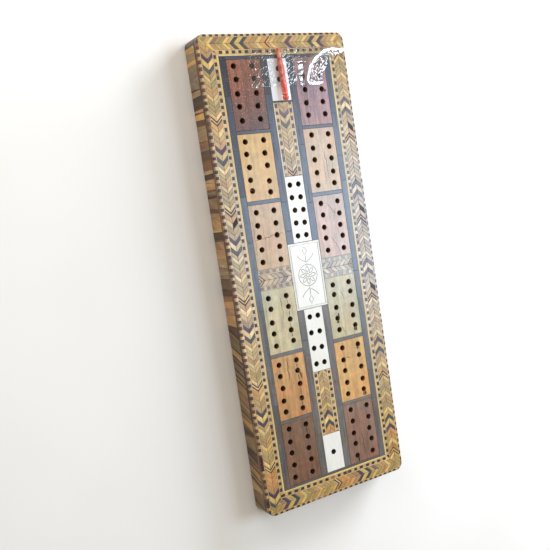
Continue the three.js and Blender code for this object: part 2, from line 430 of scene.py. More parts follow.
def wood(name, second=(1.12, 1.0, 0.86), contrast=0.16, pores=0.35, rough=0.38, dirt="1c1410",
         plain=None, coat=0.85, specks=0.0):
    """Polished wood. Colour, fibre direction and darkened creases (soiling and painted shade) are the
    slips' own, unless plain is its colour.
    """
    shader = Shader(name)
    place = shader.millimetres()
    if plain:
        tint, fibre = srgb(plain)[:3], (0.0, 1.0, 0.0)
        seed, creases, sheen = 0.0, 0.0, coat
    else:
        tint, fibre = shader.attribute("tint", "Color"), shader.attribute("grain", "Vector")
        seed, creases = shader.attribute("seed"), shader.attribute("dirt")
        lightness = shader.vector("DOT_PRODUCT", tint, (1.0, 1.0, 1.0))
        # The black filler of old repairs has no polish.
        sheen = shader.between(lightness, 0.04, 0.048, 0.1, coat)
    # Fibres are noise drawn out along the grain, moved aside by another amount in each slip.
    along = shader.vector("DOT_PRODUCT", place, fibre)
    stretched = shader.vector("SCALE", fibre, shader.times(along, -0.93))
    shift = shader.vector("SCALE", (17.0, 31.0, 7.0), seed)
    fibres = shader.vector("ADD", shader.vector("ADD", place, stretched), shift)
    shifted = shader.vector("ADD", place, shift)
    broad = shader.noise(fibres, 0.45, 3.0, 0.6, 0.4)
    fine = shader.noise(fibres, 2.6, 5.0, 0.65)
    clouds = shader.noise(shifted, 0.07, 2.0)
    blotches = shader.noise(shifted, 0.28, 3.0, 0.6)
    pore = shader.between(shader.noise(fibres, 5.5, 2.0, 0.5), 0.58, 0.72)
    shade = shader.between(broad, 0.28, 0.72, 1 - contrast, 1 + contrast)
    for pattern, spread in ((fine, contrast / 2), (blotches, 0.1)):
        shade = shader.times(shade, shader.between(pattern, 0.3, 0.7, 1 - spread, 1 + spread))
    colour = shader.vector("SCALE", tint, shade)
    warm = shader.vector("MULTIPLY", colour, second)
    colour = shader.mix(shader.between(clouds, 0.35, 0.65), colour, warm)
    colour = shader.mix(shader.times(pore, pores), colour, shader.vector("SCALE", colour, 0.45))
    # Creases darkened patchily: soiling and painted shade.
    darkest_crease = 0.85
    patchiness = shader.between(shader.noise(place, 0.9, 3.0), 0.3, 0.75, 0.55 * darkest_crease, darkest_crease)
    dirt_and_shade_mask = shader.times(shader.between(creases, 0.05, 0.65), patchiness)
    across = shader.vector("MULTIPLY", place, (0.35, 1.6, 1.0))
    scratch = shader.between(shader.noise(across, 0.8, 2.0, 0.5, 2.5), 0.685, 0.71)
    colour = shader.layers(colour, (dirt_and_shade_mask, dirt), (shader.times(scratch, 0.14), "d8d0c4"))
    if specks:
        speck = shader.between(shader.noise(place, 1.5, 3.0, 0.6), 0.595, 0.66, 0.0, specks)
        colour = shader.layers(colour, (speck, "c9c2bb"))
    roughness = shader.between(fine, 0.25, 0.75, rough - 0.06, rough + 0.1)
    roughness = shader.plus(roughness, shader.times(creases, 0.3))
    height = shader.minus(shader.times(fine, 0.5), shader.times(pore, 0.6))
    height = shader.plus(height, shader.times(shader.noise(place, 0.12, 2.0), 6.0))
    shader.principled(colour, roughness, shader.bump(height, 0.5, 0.03), Coat_Weight=sheen,
                      Coat_Roughness=0.26, Specular_IOR_Level=0.3)
    return shader.material


def bone(name, pale, cloudy):
    """Polished bone: ivory white with fine lengthwise canals, faint clouds and grey creases."""
    shader = Shader(name)
    place = shader.millimetres()
    lengthwise = shader.vector("MULTIPLY", place, (1.0, 0.09, 1.0))
    streaks = shader.noise(lengthwise, 1.1, 4.0, 0.6, 0.3)
    canals = shader.between(shader.noise(lengthwise, 5.0, 2.0), 0.62, 0.74)
    clouds = shader.noise(place, 0.09, 3.0)
    colour = shader.layers(
        srgb(pale),
        (shader.between(streaks, 0.3, 0.7), cloudy),
        (shader.between(clouds, 0.45, 0.75, 0.0, 0.35), cloudy),
        (shader.times(canals, 0.28), "a89c84"),
        # Engraved lines and hole rims darkened: ink and soiling, and painted shade.
        (shader.times(shader.attribute("dirt"), 0.9), "2e2a26"))
    roughness = shader.between(streaks, 0.3, 0.7, 0.24, 0.36)
    height = shader.minus(shader.times(streaks, 0.4), canals)
    shader.principled(colour, roughness, shader.bump(height, 0.35, 0.02), Coat_Weight=0.2,
                      Coat_Roughness=0.15, Subsurface_Weight=0.08, Subsurface_Scale=0.001)
    return shader.material


# Where, along the board, the peg's red stain is worn away.
WORN_PATCH = 113.2


def stained_bone():
    """Bone stained red, paler where it has been handled, darker in its turned grooves, and painted lighter
    on its ridges as a highlight.
    """
    shader = Shader("red_stained_bone")
    place = shader.millimetres()
    lengthwise = shader.vector("MULTIPLY", place, (1.0, 0.12, 1.0))
    streaks = shader.noise(lengthwise, 1.4, 4.0, 0.6, 0.5)
    patches = shader.noise(place, 0.35, 3.0)
    pits = shader.between(shader.noise(place, 3.5, 2.0), 0.62, 0.7)
    edges = shader.make("ShaderNodeNewGeometry", {}, "Pointiness")
    from_patch = shader.vector("ADD", place, (0.0, -WORN_PATCH, 0.0))
    distance = shader.maths("ABSOLUTE", shader.vector("DOT_PRODUCT", from_patch, (0.0, 1.0, 0.0)))
    colour = shader.layers(
        srgb("d2383e"),
        (shader.between(streaks, 0.3, 0.7), "ec7068"),
        (shader.between(patches, 0.46, 0.64, 0.0, 0.75), "f0a384"),
        (shader.between(distance, 0.8, 2.0, 0.7, 0.0), "eebb92"),
        (shader.times(pits, 0.5), "6a1218"),
        (shader.between(edges, 0.42, 0.49, 0.8, 0.0), "7a1620"),
        # A painted highlight along its ridges.
        (shader.between(edges, 0.52, 0.6, 0.0, 0.55), "ef8f78"))
    roughness = shader.between(streaks, 0.3, 0.7, 0.2, 0.34)
    height = shader.minus(shader.times(streaks, 0.5), pits)
    shader.principled(colour, roughness, shader.bump(height, 0.3, 0.03), Coat_Weight=0.5,
                      Coat_Roughness=0.08, Subsurface_Weight=0.12, Subsurface_Scale=0.001)
    return shader.material


def clear_film():
    """Clear glossy tape: it mirrors the lights and lets the rest through, with small flaws."""
    shader = Shader("clear_adhesive_film")
    place = shader.millimetres()
    flaws = shader.between(shader.noise(place, 0.8, 4.0, 0.6), 0.52, 0.66)
    clear = shader.layers(srgb("ffffff"), (flaws, "f9fafa"))
    see_through = shader.make("ShaderNodeBsdfTransparent", {"Color": clear})
    ripples = shader.plus(shader.noise(place, 0.5, 3.0), shader.times(flaws, 0.3))
    glossy = dict(Color=srgb("ffffff"), Roughness=0.06, Normal=shader.bump(ripples, 0.6, 0.12))
    gloss = shader.make("ShaderNodeBsdfAnisotropic", glossy)
    fresnel = shader.make("ShaderNodeFresnel", {"IOR": 1.6})
    share = shader.plus(shader.times(fresnel, 0.36), 0.028)
    shader.surface(shader.make("ShaderNodeMixShader", {0: share, 1: see_through, 2: gloss}))
    return shader.material


BANDING_WOOD = wood("banding_woods", contrast=0.13, pores=0.22, rough=0.34)
SIDE_WOOD = wood("side_woods", (1.08, 1.0, 0.94), contrast=0.22, pores=0.4, rough=0.42, coat=0.15)
GROUND_WOOD = wood("dyed_ground_wood", (0.84, 1.02, 1.22), contrast=0.26, dirt="0f0f14", specks=0.1)
STRINGING_WOOD = wood("stringing_wood", contrast=0.08, pores=0.15)
BONE = bone("polished_bone", "e4e3de", "d8d5c9")
# Whiter, bluer bone for the far peg plate: painted light against the peg's shadow on it.
PAINTED_LIGHT_BONE = bone("bone_painted_lighter", "f5f8fa", "eef1f3")


# ---- The face ----

def worn_edge(x, y):
    """How far the face has worn down at a point near the board's outer edge."""
    past_x, past_y = abs(x) - HALF_X + CORNER_RADIUS, abs(y) - HALF_Y + CORNER_RADIUS
    if past_x > 0 and past_y > 0:
        distance = CORNER_RADIUS - math.hypot(past_x, past_y)
    else:
        distance = min(HALF_X - abs(x), HALF_Y - abs(y))
    wear = 0.75 + 0.3 * noise.noise(Vector((x * 0.11, y * 0.11, 3.0)))
    if distance >= wear:
        return 0.0
    return wear - math.sqrt(max(0.0, wear ** 2 - (wear - distance) ** 2))


def on_face(x, y, height):
    """A point of the face, at a height above it."""
    on_top = height > -FACE_SLICE + 0.01
    fall = worn_edge(x, y) if on_top else 0.0
    thinnest = 0.1 if fall else 0.0
    return (x, y, max(FACE_Z + height - fall, CORE_TOP + thinnest))


def node_relief(node, edge_width, edge_depth):
    """A Relief with the rectangle of a CAD node for its outline."""
    low, high = node_box(node)
    return Relief(rectangle(low.x, low.y, high.x, high.y), edge_width, edge_depth)


def inlay(relief, node, slot, material, place=on_face):
    """Puts a relief in the place of a CAD node of the face."""
    piece = relief.build("inlaid_" + node.removeprefix("border_"), place, FACE_SLICE, material)
    fit(piece, node, slot)


# ---- Borders ----

class Strip:
    """A run of banding: u goes along it the way its herringbone points, and v across it."""

    def __init__(self, start, along, across):
        self.start, self.along, self.across = Vector(start), Vector(along), Vector(across)

    def point(self, u, v):
        return self.start + self.along * u + self.across * v

    def place(self, u, v, height):
        x, y = self.point(u, v)
        return on_face(x, y, height)

    def tone(self, colour, middle):
        """Bandings are paler, greyer and bluer about the middle of the board with painted sheen, and
        darker at its near end.
        """
        x, y = self.point(*middle)
        # faint is the painted sheen: greatest about the middle, where it also lightens the left more.
        faint = bell(y, 15, 85)
        near_end_darkening = bell(y, -120, 40) * (0.12 - 0.0014 * x)
        shade = (1 + 0.0013 * faint * (40 - x)) * (1 - near_end_darkening)
        # A little darker at the far end, and lighter about y = -25 with more painted sheen.
        shade *= 1 - 0.07 * smooth_step(70, 115, y)
        shade *= 1 + 0.16 * bell(y, -25, 35)
        # The painted sheen greys and cools the colour, so both ends stay warmer.
        red, green, blue, alpha = toned(greyed_by_painted_sheen(colour, faint * (0.55 + 0.003 * x)), shade)
        return (red, green * (0.925 + 0.075 * faint), blue * (0.87 + 0.19 * faint), alpha)


def herringbone_sequence():
    """Colours and thicknesses of one repeat, starting behind the point of the dark chevron."""
    tans = [TAN, PALE, GREENISH, TAN, PINKISH, PALE, TAN, GREENISH, TAN, PALE]
    oranges = [ORANGE, PALE, TAN, PINKISH]
    repeat = [(DARK_PURPLE, 2.3), (PALE, 3.1), (DARK_GREEN, 2.3)]
    repeat += [(colour, 2.3) for colour in tans]
    repeat += [(MAROON, 0.75), (PALE, 0.95), (MAROON, 0.75)]
    return repeat + [(colour, 3.0) for colour in oranges]


REPEAT = herringbone_sequence()
REPEAT_LENGTH = sum(thickness for _, thickness in REPEAT)


def herringbone(relief, u_low, u_high, v_low, v_high, darks, draw, odd=(), swap=False):
    """Chevrons from u_low to u_high, with a dark one's point at each of the places in darks.

    odd lists slips of another colour as (u, side, colour), where side 2 is both sides.
    swap changes over the two dark colours.
    """
    centre, reach = (v_low + v_high) / 2, (v_high - v_low) / 2
    margin = 3
    darks = list(darks)
    while darks[0] > u_low:
        darks.insert(0, darks[0] - REPEAT_LENGTH)
    while darks[-1] < u_high + reach + margin:
        darks.append(darks[-1] + REPEAT_LENGTH)
    for first, following in zip(darks, darks[1:]):
        stretch = (following - first) / REPEAT_LENGTH
        u = first - REPEAT[0][1]
        for colour, thickness in REPEAT:
            if swap and colour in (DARK_PURPLE, DARK_GREEN):
                colour = DARK_GREEN if colour == DARK_PURPLE else DARK_PURPLE
            end = u + thickness * stretch
            if end > u_low - margin and u < u_high + reach + margin:
                for side, edge in enumerate((v_low, v_high)):
                    polygon = [(u, centre), (end, centre), (end - reach, edge), (u - reach, edge)]
                    shown = toned(colour, draw.uniform(0.78, 1.16))
                    for odd_u, odd_side, odd_colour in odd:
                        if odd_side in (side, 2) and u <= odd_u < end:
                            shown = toned(odd_colour, draw.uniform(0.9, 1.1))
                    relief.slip(polygon, shown, (-reach, edge - centre), draw, 0.18)
            u = end


def checks(relief, u_low, u_high, v_low, v_high, pitch, draw, lost=(), dark_colour=CHECK_DARK):
    """A row of dark and pale squares, cut a little unevenly, with none left within lost."""
    odd_share = 0.05
    u = u_low - pitch * draw.random()
    dark = True
    while u < u_high:
        end = u + pitch / 2 * draw.uniform(0.86, 1.14)
        if dark:
            colour, grain = toned(dark_colour, draw.uniform(0.75, 1.25)), (0, 1)
        else:
            colour, grain = toned(CHECK_PALE, draw.uniform(0.82, 1.14)), (1, 0.2)
        if draw.random() < odd_share:
            colour = toned(CHECK_BROWN, draw.uniform(0.8, 1.1))
        depth = 0.05
        if any(low < (u + end) / 2 < high for low, high in lost):
            colour, depth = LOST_CHECK, 0.3
        relief.slip(rectangle(u, v_low, end, v_high), colour, grain, draw, depth=depth)
        u = end
        dark = not dark


def line(relief, u_low, u_high, v_low, v_high, colour, draw):
    """A fine line of pale wood, in lengths."""
    u = u_low
    while u < u_high:
        end = min(u_high, u + draw.uniform(25, 60))
        shown = toned(colour, draw.uniform(0.88, 1.06))
        relief.slip(rectangle(u, v_low, end, v_high), shown, (1, 0), draw, 0.06, 0.04)
        u = end


# Where the rows of a border banding begin and end, from the board's edge inwards.
EDGE_CHECKS, EDGE_LINE, CHEVRONS, INNER_LINE, INNER_CHECKS = 1.4, 1.75, 8.1, 8.5, 10.1


def border_outline(half, inset_by):
    """A mitred run between the board's edge and the stringing, round ends included."""
    outline = []
    centre = half - CORNER_RADIUS
    radius = CORNER_RADIUS - inset_by
    for sign in (-1, 1):
        for i in range(7):
            angle = math.radians(45 * (i / 6 if sign > 0 else 1 - i / 6))
            outline.append((sign * (centre + radius * math.sin(angle)),
                            CORNER_RADIUS - radius * math.cos(angle)))
    outline.append((half - BORDER_WIDTH, BORDER_WIDTH))
    outline.append((-half + BORDER_WIDTH, BORDER_WIDTH))
    return outline


# How each border runs, half its length, where its dark chevrons point, whether their colours are
# swapped, the distance from one dark check to the next at the edge and inside, lost checks, and
# slips of an odd colour as (place, side, colour).
BORDERS = {
    "left": dict(
        along=(0, -1), across=(1, 0), half=HALF_Y, darks=(-110.2, -64.3, -18.0, 27.6, 72.4, 116.2),
        check_pitches=(3.4, 3.55), edge_colour=srgb("5c3c2e"),
        lost=((92, 99.5), (116.4, 118.4), (121.4, 123.2)),
        odd=((-27.3, 1, REPAIR), (-56.5, 0, srgb("8a8070")), (106.0, 2, DEEP_ORANGE),
             (109.0, 2, DEEP_ORANGE), (111.8, 0, DEEP_ORANGE), (62.0, 0, ORANGE),
             (71.2, 2, DARK_GREEN), (76.6, 2, DARK_PURPLE))),
    "near": dict(
        along=(1, 0), across=(0, 1), half=HALF_X, darks=(-30.9, 18.0),
        check_pitches=(3.54, 3.9), lost=((-44, -42.5),),
        odd=((26.5, 1, srgb("7a5a66")), (7.5, 2, DEEP_ORANGE), (10.0, 0, DEEP_ORANGE),
             (-42.0, 1, DEEP_ORANGE))),
    "right": dict(
        along=(0, 1), across=(-1, 0), half=HALF_Y, darks=(-96.4, -51.5, -5.9, 38.1, 84.5), swap=True,
        check_pitches=(3.4, 3.6), lost=((-119.5, -117),),
        odd=((74.6, 0, REPAIR), (28.7, 0, REPAIR), (19.8, 0, srgb("5c564c")), (-15.1, 0, REPAIR),
             (-100.0, 0, DEEP_ORANGE), (-103.0, 0, ORANGE), (-97.5, 2, DARK_PURPLE),
             (-92.2, 2, DARK_GREEN))),
    "far": dict(
        along=(-1, 0), across=(0, -1), half=HALF_X, darks=(-26.7, 20.9), check_pitches=(3.55, 3.9),
        odd=((-8.2, 2, srgb("5a4254")), (20.0, 2, DARK_GREEN), (37.5, 0, srgb("80665a")),
             (3.5, 2, DEEP_ORANGE))),
}
# How wide the mitre joint at each border's end has opened.
MITRE_GAPS = {"near": 0.3, "left": 0.14, "far": 0.1, "right": 0.2}


def edge_strip(side):
    """The strip that starts at the board's edge, in the middle of a side."""
    spec = BORDERS[side]
    outward = Vector(spec["across"]) * -1
    edge = Vector((outward.x * HALF_X, outward.y * HALF_Y))
    return Strip(edge, spec["along"], spec["across"])


def border(side):
    spec = BORDERS[side]
    draw = random.Random("border " + side)
    half = spec["half"]
    strip = edge_strip(side)
    relief = Relief(border_outline(half, 0.0), 0, 0.0, strip.tone)
    # Lines for the worn outer edge to bend along, then the mitre joints at both ends.
    for step in (0.06, 0.18, 0.36, 0.62, 1.0):
        relief.path(border_outline(half, step), 0.0)
    for sign, gap in ((-1, 0.1), (1, MITRE_GAPS[side])):
        for back, depth in ((0.0, 0.09), (gap, 0.0)):
            ends = [(sign * (half - at - back), at) for at in (BORDER_WIDTH, 6.0, 1.35)]
            relief.path(ends, depth, closed=False)
    outer_pitch, inner_pitch = spec["check_pitches"]
    overhang = 0.02
    checks(relief, -half, half, -overhang, EDGE_CHECKS, outer_pitch, draw, spec.get("lost", ()),
           spec.get("edge_colour", CHECK_DARK))
    line(relief, -half, half, EDGE_CHECKS, EDGE_LINE, FINE_LINE, draw)
    herringbone(relief, -half, half, EDGE_LINE, CHEVRONS, spec["darks"], draw, spec["odd"],
                spec.get("swap", False))
    line(relief, -half, half, CHEVRONS, INNER_LINE, FINE_LINE, draw)
    checks(relief, -half, half, INNER_LINE, INNER_CHECKS, inner_pitch, draw)
    line(relief, -half, half, INNER_CHECKS, BORDER_WIDTH, FINE_LINE, draw)
    inlay(relief, f"border_banding_{side}", "border_banding", BANDING_WOOD, strip.place)


def stringing(side):
    """The pale line between the border and the ground, mitred and in a few lengths."""
    node = f"stringing_{side}"
    draw = random.Random("stringing " + side)
    low, high = node_box(node)
    outer, reach = BORDER_WIDTH, BORDERS[side]["half"]
    inner = outer + min(high.x - low.x, high.y - low.y)
    outline = [(outer - reach, outer), (reach - outer, outer),
               (reach - inner, inner), (inner - reach, inner)]
    relief = Relief(outline, 0.08, 0.06)
    line(relief, -reach, reach, outer, inner, srgb("c8b37a"), draw)
    inlay(relief, node, "stringing", STRINGING_WOOD, edge_strip(side).place)


# ---- Herringbone strips inside the board ----

def inner_strip(node, along, rows, first_dark, pitch, sheen_wash=0.0, even="9a8f84", odd=()):
    """A short strip of the same stock, greyed towards the colour even by a painted sheen.

    rows are the distances from its long edges where its line, its checks and its second line end.
    """
    draw = random.Random(node)
    low, high = node_box(node)
    along, across = Vector(along), Vector((-along[1], along[0]))
    size, middle = (high - low).to_2d(), ((high + low) / 2).to_2d()
    length, width = abs(size.dot(along)), abs(size.dot(across))
    strip = Strip(middle - along * length / 2 - across * width / 2, along, across)
    relief = Relief(rectangle(0, 0, length, width), 0.12, 0.1, strip.tone)
    first, second, third = rows
    lines = ((0, first), (second, third), (width - third, width - second), (width - first, width))
    for low_v, high_v in lines:
        line(relief, 0, length, low_v, high_v, FINE_LINE, draw)
    for low_v, high_v in ((first, second), (width - second, width - first)):
        checks(relief, 0, length, low_v, high_v, pitch, draw)
    herringbone(relief, 0, length, third, width - third, (first_dark,), draw, odd)
    # Painted sheen: every slip greyed by one share towards one colour.
    relief.slips = [([c + sheen_wash * (e - c) for c, e in zip(colour, srgb(even))], grain, seed)
                    for colour, grain, seed in relief.slips]
    inlay(relief, node, "herringbone_strip", BANDING_WOOD, strip.place)


# ---- Ground ----

# Dyed wood along the board, from the near end: browner, then bluer, then darkest.
# The blue about the middle is painted cool sheen, and the dark far end is painted shade.
SLATES = ((-125, "5a5047"), (-60, "594f48"), (-20, "4f4f50"), (40, "444c58"), (75, "3e3f48"),
          (125, "35333a"))
# How much lighter than that a strip is, at places along the board.
# On the two edge strips this is painted sheen about the middle, and on the left one painted shade at the
# far end.
GROUND_SHADES = {
    "ground_column_left_near": ((-100, 1.3), (-20, 1.3)),
    "ground_column_right_near": ((-100, 1.3), (-20, 1.3)),
    "ground_edge_left": ((-60, 0.98), (-20, 1.25), (30, 1.3), (60, 0.85), (90, 0.52)),
    "ground_edge_right": ((-60, 1.05), (-20, 1.2), (40, 1.2), (80, 1.04)),
}
# Start, end and width of each crack.
GROUND_CRACKS = {
    "ground_edge_left": (((-33.7, 18.1), (-30.1, 18.8), 0.3), ((-31.2, 92), (-30.8, 101), 0.12)),
    "ground_column_left_far": (((-9.9, 21.1), (-6.0, 21.4), 0.4),),
    "ground_column_right_far": (((5.9, 34.0), (10.0, 35.2), 0.32),),
    "ground_column_left_near": (((-9.9, -37.7), (-6.0, -38.0), 0.36),),
    "ground_column_right_near": (((6.2, -64.0), (9.8, -65.2), 0.14),),
    "ground_edge_right": (((30.2, 58.2), (33.7, 57.6), 0.16), ((31.5, -20), (31.8, -34), 0.12)),
}


def slate(y):
    """The ground's colour at a distance along the board."""
    codes = [(at, srgb(code)) for at, code in SLATES]
    return tuple(interpolate([(at, colour[i]) for at, colour in codes], y) for i in range(4))


def ground(node, joints):
    """A strip of the dyed ground, pieced from lengths where it has joints."""
    draw = random.Random(node)
    low, high = node_box(node)
    relief = node_relief(node, 0.1, 0.1)
    tall = high.y - low.y > high.x - low.x
    start, end = (low.y, high.y) if tall else (low.x, high.x)
    across = (low.y + high.y) / 2
    usual = 1.35 if "divider" in node else 1.0
    lighter = GROUND_SHADES.get(node, ((0, usual), (1, usual)))
    shortest = 9
    at = start
    while at < end:
        far = at + draw.uniform(22, 58) if joints else end
        if end - far < shortest:
            far = end
        if tall:
            polygon, grain = rectangle(low.x, at, high.x, far), (0, 1)
        else:
            polygon, grain = rectangle(at, low.y, far, high.y), (1, 0)
        middle = (at + far) / 2 if tall else across
        colour = toned(slate(middle), interpolate(lighter, middle) * draw.uniform(0.88, 1.1))
        relief.slip(polygon, colour, grain, draw, 0.1, 0.08)
        at = far
    hair_cracks = 4 if tall and end - start > 60 else 0
    for _ in range(hair_cracks):
        x = draw.uniform(low.x + 0.6, high.x - 0.6)
        y = draw.uniform(low.y + 5, high.y - 15)
        points = [(x + 0.15 * math.sin(i * 1.7), y + i * 1.6) for i in range(6)]
        relief.crack(points, 0.14, 0.15)
    for start_point, end_point, width in GROUND_CRACKS.get(node, ()):
        relief.crack(wander(start_point, end_point, draw), width)
    inlay(relief, node, "dyed_ground", GROUND_WOOD)


# ---- Scoring panels and bone plates ----

def holes_of(node):
    """Centres of a CAD node's holes, from its top face, by columns and from the far end."""
    low, high = node_box(node)
    margin, apart = 0.5, 4.0
    rims = []
    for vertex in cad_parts[node].data.vertices:
        point = vertex.co / MM
        inside = all(low[i] + margin < point[i] < high[i] - margin for i in (0, 1))
        if inside and abs(point.z - high.z) < 0.01:
            flat = point.to_2d()
            for rim in rims:
                if (rim[0] - flat).length < apart:
                    rim.append(flat)
                    break
            else:
                rims.append([flat])
    centres = [sum(rim, Vector((0, 0))) / len(rim) for rim in rims]
    middle = (low.x + high.x) / 2
    centres.sort(key=lambda c: (c.x > middle, -c.y))
    return centres


HOLE_RADIUS = 1.38
ROWS = 5

# The six woods from the far end. The two colours are those of a panel's far and near ends.
# Besides each wood's own colour they carry painted light: the right-hand ones are greyer and bluer with
# painted sheen, and each far-to-near change is partly painted light.
PANELS = (
    dict(slot="rosewood", left=("7c4d36", "523631"), right=("7f6269", "806469"),
         second=(1.25, 1.05, 0.85), contrast=0.34, specks=0.45),
    dict(slot="satinwood", left=("ba9963", "b99e75"), right=("ac937a", "aa9883"),
         second=(1.1, 0.95, 0.8), contrast=0.15),
    dict(slot="mauve_wood", left=("b0977b", "ac9573"), right=("a28e80", "ad9689"),
         second=(1.08, 0.92, 0.9), contrast=0.17),
    dict(slot="olive_wood", left=("adac8f", "afa888"), right=("aba68e", "aca37e"),
         second=(1.1, 0.96, 0.86), contrast=0.17),
    dict(slot="orange_wood", left=("b78f5c", "a57b4f"), right=("bb945b", "b8955e"),
         second=(1.12, 0.92, 0.8), contrast=0.22),
    dict(slot="walnut", left=("6c5340", "6c4d3a"), right=("806757", "795a4a"),
         second=(1.12, 0.94, 0.88), contrast=0.24),
)

# Cracks that run from hole to hole: panel, then (column, first row, last row, width).
# Column 0 is the one with the lower x, and row 0 the one at the far end.
HOLE_CRACKS = {
    "left_4": ((1, 0, 4, 0.42), (0, 3, 4, 0.14)),
    "left_5": ((1, 0, 4, 0.44), (0, 0, 3, 0.16)),
    "left_6": ((1, 0, 1, 0.5), (1, 2, 4, 0.14), (0, 0, 1, 0.12)),
    "right_2": ((1, 1, 3, 0.1),),
    "right_4": ((0, 0, 3, 0.12),),
    "right_5": ((1, 0, 4, 0.12),),
}
# Free cracks: panel, then start, end and width.
FREE_CRACKS = {
    "left_3": (((-28.8, 30), (-28.6, 9), 0.12), ((-22.6, 26), (-22.9, 11), 0.1),
               ((-29.9, 18.9), (-10.2, 21.3), 0.2)),
    "left_4": (((-18.9, -12), (-18.6, -25), 0.14), ((-28.4, -14), (-28.6, -24), 0.1)),
    "left_5": (((-20.5, -44), (-20.6, -57), 0.34), ((-13.6, -52.6), (-12.9, -57.8), 0.85)),
    "right_2": (((21.8, 63), (22.4, 46), 0.16), ((20.2, 58), (20.6, 44), 0.1)),
    "right_3": (((17.5, 34), (24, 26), 0.16), ((18, 15), (23, 6), 0.14), ((20.9, 22), (23.8, 30), 0.1)),
    "right_4": (((19.2, -15.5), (21.4, -21), 0.14), ((16.8, -35), (19.6, -41), 0.14)),
    "right_5": (((16.3, -52.8), (20.2, -53.6), 0.2),),
    "left_1": (((-20.5, 98), (-23.5, 80), 0.1),),
    "right_1": (((20.1, 97), (20.7, 80), 0.1), ((16.2, 90), (17.4, 79), 0.08)),
    "right_6": (((20.1, -95), (20.6, -108), 0.12),),
}
# Chips beside holes: panel, then (column, row, offset x, offset y, width, length).
CHIPS = {
    "right_4": ((0, 3, 0.0, -2.0, 2.0, 2.2), (0, 3, 1.0, 1.5, 1.3, 2.8), (1, 4, -0.2, -2.1, 3.0, 2.8)),
    "right_5": ((1, 0, -0.6, -1.8, 1.4, 1.8), (1, 4, 0.1, -2.4, 2.7, 3.0)),
    "right_6": ((0, 4, 0.7, -2.1, 1.4, 2.8),),
    "right_1": ((1, 2, 1.7, -0.8, 2.0, 1.5), (0, 3, 0.9, 1.2, 1.2, 1.0)),
    "left_1": ((0, 0, 1.5, 0.5, 1.0, 0.8), (0, 1, 1.6, 0.4, 0.9, 0.7), (1, 3, 1.0, 1.3, 0.9, 0.9)),
    "left_4": ((1, 3, 0.2, 1.8, 0.7, 1.2),),
}


def wander(start, end, draw, sway=0.25, steps=9):
    """A crack's line, which strays a little to either side."""
    start, end = Vector(start), Vector(end)
    across = Vector((start.y - end.y, end.x - start.x)).normalized()
    points = []
    for i in range(steps):
        t = i / (steps - 1)
        points.append(start.lerp(end, t) + across * draw.uniform(-sway, sway) * math.sin(math.pi * t))
    return points


def panel(side, number):
    label = f"{side}_{number}"
    node = "track_panel_" + label
    spec = PANELS[number - 1]
    draw = random.Random(node)
    low, high = node_box(node)
    relief = node_relief(node, 0.2, 0.14)
    far, near = (srgb(code) for code in spec[side])
    ends = [((low.y, a), (high.y, b)) for a, b in zip(near, far)]

    def colour(point):
        return [interpolate(end, point.y) for end in ends]

    relief.slips[0] = (colour, (0, 1), draw.random() * SEEDS)
    holes = holes_of(node)
    for centre in holes:
        relief.hole(centre, HOLE_RADIUS, draw.uniform(0.16, 0.26))
    columns = [holes[:ROWS], holes[ROWS:]]
    for column, first, last, width in HOLE_CRACKS.get(label, ()):
        for upper, lower in zip(columns[column][first:last], columns[column][first + 1:last + 1]):
            gap = Vector((0, HOLE_RADIUS + 0.3))
            relief.crack(wander(upper - gap, lower + gap, draw, 0.12), width * draw.uniform(0.7, 1.2))
    for start, end, width in FREE_CRACKS.get(label, ()):
        relief.crack(wander(start, end, draw, 0.5, 13), width * 1.6, 0.2)
    for column, row, x, y, width, length in CHIPS.get(label, ()):
        middle = columns[column][row] + Vector((x, y))
        jagged = [(middle.x + width / 2 * right * draw.uniform(0.75, 1.15),
                   middle.y + length / 2 * up * draw.uniform(0.75, 1.15))
                  for right, up in ring((0, 0), 1, 8)]
        relief.chip(jagged, 0.45)
    material = wood(f"{spec['slot']}_{label}", spec["second"], spec["contrast"], 0.3, 0.34,
                    specks=spec.get("specks", 0.06))
    inlay(relief, node, spec["slot"], material)


def plate(node, material):
    relief = node_relief(node, 0.3, 0.14)
    for centre in holes_of(node):
        relief.hole(centre, HOLE_RADIUS, 0.16)
    if node == "centre_plaque":
        engrave(relief, *node_box(node))
    inlay(relief, node, "bone", material)


def engrave(relief, low, high):
    """A double border line and a rosette in a ring, with a stem, leaves and a lozenge each way."""
    for margin, width, depth in ((0.85, 0.2, 0.05), (1.3, 0.3, 0.07)):
        corners = rectangle(low.x + margin, low.y + margin, high.x - margin, high.y - margin)
        relief.stroke(corners, width, depth, closed=True)
    middle = ((low + high) / 2).to_2d()
    for radius, sides in ((5.8, 48), (0.9, 20)):
        relief.stroke(ring(middle, radius, sides), 0.34, closed=True)
    root, length, width = 1.5, 3.6, 0.82
    for petal in range(8):
        angle = math.radians(45 * petal)
        outward = Vector((math.cos(angle), math.sin(angle)))
        across = Vector((-outward.y, outward.x)) * width
        turns = [(1, i / 8) for i in range(0, 9)] + [(-1, i / 8) for i in range(7, 0, -1)]
        outline = [middle + outward * (root + length * t) + across * side * math.sin(math.pi * t)
                   for side, t in turns]
        relief.stroke(outline, 0.32, closed=True)
    for sign in (-1, 1):
        tip = middle + Vector((0, sign * 13.2))
        diamond = [tip + Vector(p) for p in ((0, 2.2), (1.3, 0), (0, -2.2), (-1.3, 0))]
        relief.stroke(diamond, 0.34, closed=True)
        relief.stroke([middle + Vector((0, sign * (6.2 + 0.9 * i))) for i in range(6)], 0.36)
        for swing in (-1, 1):
            leaf = [middle + Vector((swing * (0.4 + 4.6 * math.sin(t * 1.5)), sign * (7.2 + 4.2 * t)))
                    for t in (i / 8 for i in range(9))]
            relief.stroke(leaf, 0.32)


# ---- Sides ----

